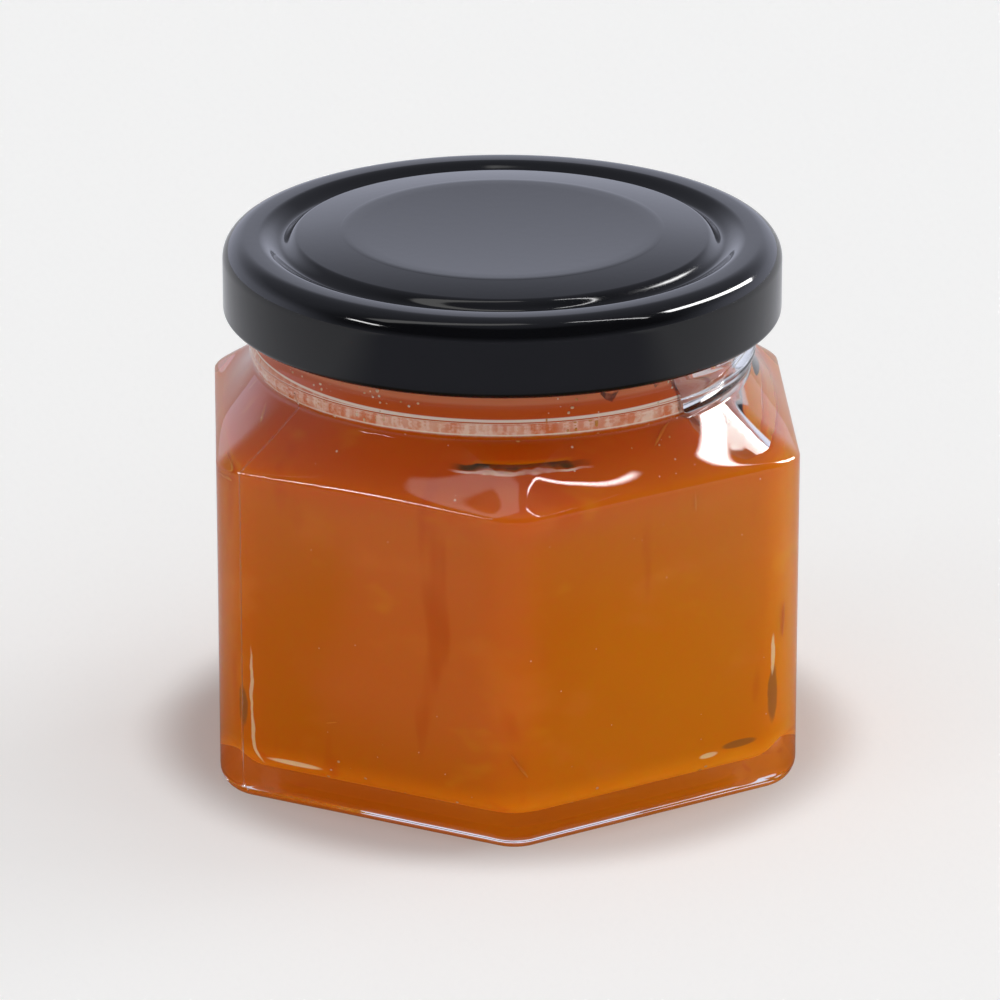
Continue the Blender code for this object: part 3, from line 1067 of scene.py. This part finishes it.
jam_fill = profile_object("jam_fill", jam_rows())
run_tree(jam_fill, turned_rings, {
    "Steps Round": STEPS_ROUND, "Corner Crowding": 0.6, "Waver": 0.0, "Waver Size": 100.0,
    "Weld": WELD, "Finish": jam_finish})
run_tree(jam_fill, poured_top, {
    "Level": JAM_LEVEL, "Slump": JAM_SLUMP, "Slump Start": SLUMP_START, "Slump End": SLUMP_END,
    "Ripple": 0.9 * MM, "Pocket Height": POCKET_HEIGHT, "Pocket Depth": 0.8 * MM,
    "Film Radius": MOUTH_RADIUS - FILM_THICK, "Film Rise": FILM_RISE,
    "Weld": WELD, "Finish": jam_finish})
turn_into_mesh(jam_fill)
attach(jam_fill, "root")
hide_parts("jam")

# %% [markdown]
# ## Bubbles, peel and seams
# Real jam is never clean against the glass. Air bubbles cling to the shoulder and the base, froth
# hangs on the neck, and thin shreds of peel lie flat along the wall. They are many and all alike,
# so one tree scatters them over the jam's own skin between two heights, gathered in clumps, and
# each run differs only in its sizes, its seed and its finish.

# %% Tree: scattered bits
CLUMP_LIMITS = (0.42, 0.62)


def random_number(low, high, seed):
    """A number that differs from point to point."""
    inputs = {"Min": low, "Max": high, "Seed": seed}
    node = add(seed.id_data, "FunctionNodeRandomValue", inputs, data_type="FLOAT")
    return in_use(node.outputs, "Value")


def scattered_bits_tree():
    """Lays small bits along a skin between two heights, in clumps, each turned its own way."""
    tree = bpy.data.node_groups.new("scattered_bits", "GeometryNodeTree")
    numbers = ("Low", "High", "Per Square Metre", "Clump Size", "Long", "Wide", "Thick", "Smallest", "Sink")
    given = inputs_of(tree, "Skin", numbers, ("Seed",))
    place = add(tree, "GeometryNodeInputPosition").outputs[0]
    x, y, z = parts_of(place)
    above = maths("GREATER_THAN", z, given["Low"])
    below = maths("LESS_THAN", z, given["High"])
    clump = ramp(noise(place, given["Clump Size"], 1.0), *CLUMP_LIMITS)
    share = times(clump, times(above, below))
    density = times(share, given["Per Square Metre"])
    spread = add(tree, "GeometryNodeDistributePointsOnFaces",
                 {"Mesh": given["Skin"], "Density": density, "Seed": given["Seed"]})
    sunk = scaled(spread.outputs["Normal"], times(given["Sink"], -1.0))
    inputs = {"Geometry": spread.outputs["Points"], "Offset": sunk}
    points = add(tree, "GeometryNodeSetPosition", inputs)
    turn = random_number(0.0, 2 * math.pi, given["Seed"])
    inputs = {"Rotation": spread.outputs["Rotation"]}
    laid = add(tree, "FunctionNodeRotateRotation", inputs, rotation_space="LOCAL")
    feed(laid.inputs[1], vector_of(z=turn))
    size = random_number(given["Smallest"], 1.0, given["Seed"])
    ball = add(tree, "GeometryNodeMeshIcoSphere", {"Radius": 1.0, "Subdivisions": 2}).outputs["Mesh"]
    sizes = vector_of(given["Long"], given["Wide"], given["Thick"])
    bit = add(tree, "GeometryNodeTransform", {"Geometry": ball, "Scale": sizes}).outputs[0]
    bits = add(tree, "GeometryNodeInstanceOnPoints", {
        "Points": points.outputs[0], "Instance": bit, "Rotation": laid.outputs[0],
        "Scale": size}).outputs[0]
    end_tree(tree, bits, given["Finish"])
    return tree


scattered_bits = scattered_bits_tree()
print("scattered bits:", len(scattered_bits.nodes), "nodes")

# %% Finishes of bubbles and peel
# Bubbles are real, but they are painted pale, as painted highlights in place of the bright glints that air
# gives inside jam and glass
BUBBLE_SHADE = (0.66, 0.24, 0.06, 1.0)
BUBBLE_LIGHT = (0.90, 0.60, 0.42, 1.0)
PEEL_SHADE = (0.64, 0.13, 0.008, 1.0)
PEEL_LIGHT = (0.72, 0.22, 0.020, 1.0)
DRIFT_LIMITS = (0.4, 0.62)


def wet_bit(name, dark, light, scale, rough):
    """A moist, slightly clear bit whose colour drifts between two shades."""
    made, shader, place = new_finish(name)
    drift = ramp(noise(place, scale, 2.0), *DRIFT_LIMITS)
    fill(shader, {"Base Color": blend_colours(drift, dark, light), "Roughness": rough,
                  "Specular IOR Level": 0.1, "Subsurface Weight": 0.4,
                  "Subsurface Radius": (1.0, 0.5, 0.2), "Subsurface Scale": 1.5 * MM})
    return made


# bubbles: painted pale, a painted highlight
bubble_finish = wet_bit("trapped_bubble", BUBBLE_SHADE, BUBBLE_LIGHT, 300.0, 0.25)
peel_finish = wet_bit("candied_peel", PEEL_SHADE, PEEL_LIGHT, 140.0, 0.4)
print("finishes:", bubble_finish.name, "and", peel_finish.name)

# %% Scatter the bits


def scatter_on_jam(name, finish, low, high, count, clump, sizes, smallest, sink, seed):
    """One scattered piece on the jam's skin, as a plain mesh."""
    piece = new_object(name, jam_fill.data.copy())
    run_tree(piece, scattered_bits, {
        "Low": low * MM, "High": high * MM, "Per Square Metre": count, "Clump Size": clump,
        "Long": sizes[0] * MM, "Wide": sizes[1] * MM, "Thick": sizes[2] * MM,
        "Smallest": smallest, "Sink": sink * MM, "Seed": seed, "Finish": finish})
    turn_into_mesh(piece)
    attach(piece, "root")


# name, finish, lowest and highest, number per square metre, clump size, half sizes, smallest share,
# how deep the bit sinks in, seed
SCATTERED = (
    ("shoulder_bubbles", bubble_finish, 37.0, 43.5, 150000.0, 120.0, (0.15, 0.15, 0.10), 0.3, 0.02, 11),
    ("neck_froth", bubble_finish, 43.5, 51.5, 500000.0, 160.0, (0.22, 0.20, 0.12), 0.3, 0.02, 12),
    ("base_bubbles", bubble_finish, 3.3, 6.5, 90000.0, 130.0, (0.26, 0.26, 0.14), 0.3, 0.02, 13),
    ("wall_specks", bubble_finish, 7.0, 37.0, 40000.0, 90.0, (0.11, 0.10, 0.07), 0.3, 0.01, 14),
    ("peel_shreds", peel_finish, 6.0, 42.0, 5000.0, 60.0, (2.6, 0.26, 0.10), 0.4, 0.03, 15),
)
for row in SCATTERED:
    scatter_on_jam(*row)

# %% [markdown]
# ## Mould seams
# The two halves of the mould leave a fine ridge on opposite sides of the glass. A path is found
# by shooting rays at the shell, so that the ridge lies on it wherever it bends, and a tree turns
# the path into a thin round bead and copies it to the other side.

# %% Tree: seam ridges
SEAM_DIRECTION = 214.0
SEAM_BEAD = 0.10 * MM
SEAM_LOW = 1.2 * MM
SEAM_HIGH = 45.0 * MM
SEAM_STEPS = 84
RAY_START = 0.1


def seam_ridges_tree():
    """A thin bead along a path, twice, half a turn apart."""
    tree = bpy.data.node_groups.new("seam_ridges", "GeometryNodeTree")
    given = inputs_of(tree, "Path", ("Bead",))
    line = add(tree, "GeometryNodeMeshToCurve", {"Mesh": given["Path"]}).outputs[0]
    inputs = {"Resolution": 8, "Radius": given["Bead"]}
    ring = add(tree, "GeometryNodeCurvePrimitiveCircle", inputs).outputs[0]
    inputs = {"Curve": line, "Profile Curve": ring, "Fill Caps": True}
    bead = add(tree, "GeometryNodeCurveToMesh", inputs).outputs[0]
    other = add(tree, "GeometryNodeTransform", {"Geometry": bead, "Rotation": (0.0, 0.0, math.pi)}).outputs[0]
    both = add(tree, "GeometryNodeJoinGeometry")
    tree.links.new(bead, both.inputs[0])
    tree.links.new(other, both.inputs[0])
    end_tree(tree, both.outputs[0], given["Finish"])
    return tree


seam_ridges = seam_ridges_tree()
print("seam ridges:", len(seam_ridges.nodes), "nodes")

# %% Lay the seams


def path_on_shell(shell, direction, low, high, steps):
    """Points on the outside of a shell in one plan direction, from low to high."""
    places = [v.co for v in shell.data.vertices]
    surface = BVHTree.FromPolygons(places, [p.vertices for p in shell.data.polygons])
    turn = math.radians(direction)
    outward = Vector((math.cos(turn), math.sin(turn), 0.0))
    points = []
    for step in range(steps + 1):
        height = low + (high - low) * step / steps
        outside = outward * RAY_START + Vector((0.0, 0.0, height))
        points.append(surface.ray_cast(outside, -outward)[0])
    return points


seam_points = path_on_shell(glass_shell, SEAM_DIRECTION, SEAM_LOW, SEAM_HIGH, SEAM_STEPS)
seam_mesh = bpy.data.meshes.new("mould_seams")
seam_mesh.from_pydata(seam_points, [(i, i + 1) for i in range(len(seam_points) - 1)], [])
mould_seams = new_object("mould_seams", seam_mesh)
run_tree(mould_seams, seam_ridges, {"Bead": SEAM_BEAD, "Finish": glass_finish})
turn_into_mesh(mould_seams)
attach(mould_seams, "root")

# %% [markdown]
# ## Lid
# The lid is one disc of thin tinplate, pressed and curled. From the middle out it has a flat
# disc, a sloping ring, a groove that stiffens it, the crown, a rounded edge, the skirt, and a
# curl that hides the cut edge. The profile below walks over the top, down the skirt, round the
# curl and back underneath, so the sheet has its true thickness. It is then turned end for end,
# so that it runs the same way as the glass's and its faces point outwards too.

# %% Lid sizes
LID_RADIUS = 30.0 * MM
LID_FOOT = 49.1 * MM
LID_CROWN = 57.4 * MM
LID_EDGE_RADIUS = 2.4 * MM
LID_WALL = 0.4 * MM
CURL_RADIUS = 0.65 * MM
PANEL_RADIUS = 22.5 * MM
PANEL_HEIGHT = 57.5 * MM
DISC_RADIUS = 17.3 * MM
DISC_HEIGHT = 58.0 * MM
DISC_EDGE = 0.35 * MM
DISC_EDGE_DROP = 0.05 * MM
DISC_DISH = 0.2 * MM
PANEL_EDGE = 0.5 * MM
GROOVE_RADIUS = 23.8 * MM
CROWN_START = 26.2 * MM
GROOVE_HEIGHT = 56.45 * MM
print("lid is", 2 * LID_RADIUS / MM, "mm across and its sheet", LID_WALL / MM, "mm thick")

# %% Profile of the lid


def arc(centre, radius, start, end, steps):
    """Points on an arc, from start to end in degrees."""
    points = []
    for step in range(steps + 1):
        turn = math.radians(start + (end - start) * step / steps)
        points.append((centre[0] + radius * math.cos(turn), centre[1] + radius * math.sin(turn)))
    return points


def wave(start, end, steps):
    """A smooth rise or fall between two points, without the first."""
    points = []
    for step in range(1, steps + 1):
        share = step / steps
        radius = start[0] + (end[0] - start[0]) * share
        points.append((radius, start[1] + (end[1] - start[1]) * eased(share)))
    return points


def lid_top():
    """The pressed top from the axis outwards."""
    points = []
    for step in range(13):
        share = step / 12
        points.append(((DISC_RADIUS - 2 * DISC_EDGE) * share, DISC_HEIGHT - DISC_DISH * (1 - share ** 2)))
    disc_end = (DISC_RADIUS + DISC_EDGE, DISC_HEIGHT - DISC_EDGE_DROP)
    points += wave((DISC_RADIUS - DISC_EDGE, DISC_HEIGHT), disc_end, 4)
    points.append((PANEL_RADIUS - PANEL_EDGE, PANEL_HEIGHT))
    points += wave(points[-1], (GROOVE_RADIUS, GROOVE_HEIGHT), 12)
    points += wave(points[-1], (CROWN_START, LID_CROWN), 14)
    return points


def lid_rows():
    """Over the top, down the skirt, round the curl and back under the top."""
    crown_centre = (LID_RADIUS - LID_EDGE_RADIUS, LID_CROWN - LID_EDGE_RADIUS)
    curl_centre = (LID_RADIUS - CURL_RADIUS, LID_FOOT + CURL_RADIUS)
    points = lid_top()
    points += arc(crown_centre, LID_EDGE_RADIUS, 90, 0, 14)
    points += arc(curl_centre, CURL_RADIUS, 0, -180, 12)
    points += arc(curl_centre, CURL_RADIUS, 180, 70, 8)[1:]
    points += arc(crown_centre, LID_EDGE_RADIUS - LID_WALL, 0, 90, 8)
    points += [(radius, height - LID_WALL) for radius, height in reversed(lid_top())]
    return [circle_row(*point) for point in reversed(points)]


print("lid profile has", len(lid_rows()), "rows")

# %% Lacquer finish
LACQUER_DEEP = (0.0016, 0.0017, 0.002, 1.0)
LACQUER_WORN = (0.003, 0.003, 0.004, 1.0)


def black_lacquer():
    """Stoved black lacquer: almost a mirror, with a very fine orange-peel surface."""
    made, shader, place = new_finish("black_lacquer")
    patchy = noise(place, 70.0, 3.0)
    inputs = {"Height": noise(place, 900.0, 1.0), "Strength": 0.05, "Distance": 0.05 * MM}
    bump = add(made.node_tree, "ShaderNodeBump", inputs).outputs[0]
    fill(shader, {"Base Color": blend_colours(patchy, LACQUER_DEEP, LACQUER_WORN), "IOR": 1.5,
                  "Roughness": maths("MULTIPLY_ADD", patchy, 0.05, 0.05), "Normal": bump})
    return made


lacquer_finish = black_lacquer()
print("lacquer finish has", len(lacquer_finish.node_tree.nodes), "nodes")

# %% Lacquered lid
LID_STEPS_ROUND = 256

lacquered_lid = profile_object("lacquered_lid", lid_rows())
run_tree(lacquered_lid, turned_rings, {
    "Steps Round": LID_STEPS_ROUND, "Corner Crowding": 0.0, "Waver": 0.0, "Waver Size": 100.0,
    "Weld": WELD, "Finish": lacquer_finish})
turn_into_mesh(lacquered_lid)
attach(lacquered_lid, "root")
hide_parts("lid")
